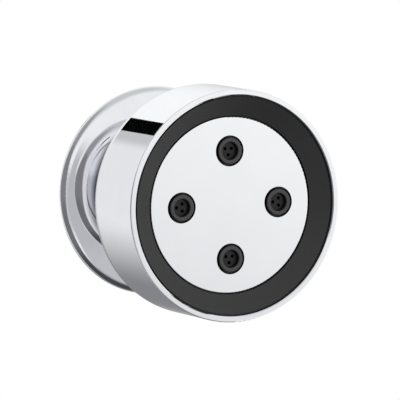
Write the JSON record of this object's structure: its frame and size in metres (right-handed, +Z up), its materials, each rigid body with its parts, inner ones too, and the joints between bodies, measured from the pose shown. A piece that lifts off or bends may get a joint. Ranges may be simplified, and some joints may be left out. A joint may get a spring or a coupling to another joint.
{
  "type": "shower body jet",
  "caption": "Round chrome body jet that swivels on a ball in front of a domed wall plate, with a black funnel ring and black nozzle inserts set in a polished face disc.",
  "frame": {"origin": "on the inlet's axis, in the plane of the finished wall that the wall plate's pad presses on", "axes": "-Y along the jet's axis into the room, +Y into the wall, +Z up, +X to the right as seen from the room"},
  "size_m": [0.078, 0.063, 0.078],
  "materials": {
    "plated_stem": "polished chrome on brass",
    "plated_plate": "polished chrome on cast metal",
    "plated_nut": "polished chrome on brass",
    "plated_case": "polished chrome on brass",
    "polished_disc": "polished",
    "screen_steel": "plain stainless",
    "front_plastic": "fine matt",
    "nozzle_plastic": "smooth satin",
    "waterway_plastic": "as moulded",
    "white_acetal": "as moulded",
    "seal_rubber": "smooth",
    "pad_foam": "closed-cell foam"
  },
  "bodies": {
    "stem": {"ball_stem": "plated_stem", "inlet_washer": "seal_rubber", "inlet_screen": "screen_steel", "flow_regulator": "white_acetal", "regulator_ring": "seal_rubber"},
    "plate": {"wall_plate": "plated_plate", "grip_ring": "seal_rubber", "wall_pad": "pad_foam"},
    "swivel_pan": {"friction_washer": "white_acetal"},
    "swivel_tilt": {"ball_seat": "white_acetal", "ball_seal": "seal_rubber"},
    "head": {"ball_nut": "plated_nut", "case": "plated_case", "case_washer": "white_acetal", "manifold": "waterway_plastic", "chamber_gasket": "seal_rubber", "spray_front": "front_plastic", "front_screws": "screen_steel", "face_disc": "polished_disc", "nozzle_seals": "seal_rubber", "nozzle_top": "nozzle_plastic", "nozzle_left": "nozzle_plastic", "nozzle_bottom": "nozzle_plastic", "nozzle_right": "nozzle_plastic"}
  },
  "joints": [
    {"name": "plate_slide", "type": "slide", "parent": "stem", "child": "plate", "axis": [0, -1, 0], "range_m": [0, 0.004]},
    {"name": "head_pan", "type": "hinge", "parent": "stem", "child": "swivel_pan", "pos_m": [0, -0.0275, 0], "axis": [0, 0, 1], "range_deg": [-12, 12]},
    {"name": "head_tilt", "type": "hinge", "parent": "swivel_pan", "child": "swivel_tilt", "pos_m": [0, -0.0275, 0], "axis": [1, 0, 0], "range_deg": [-12, 12]},
    {"name": "head_spin", "type": "hinge", "parent": "swivel_tilt", "child": "head", "pos_m": [0, -0.0275, 0], "axis": [0, -1, 0], "continuous": true}
  ]
}
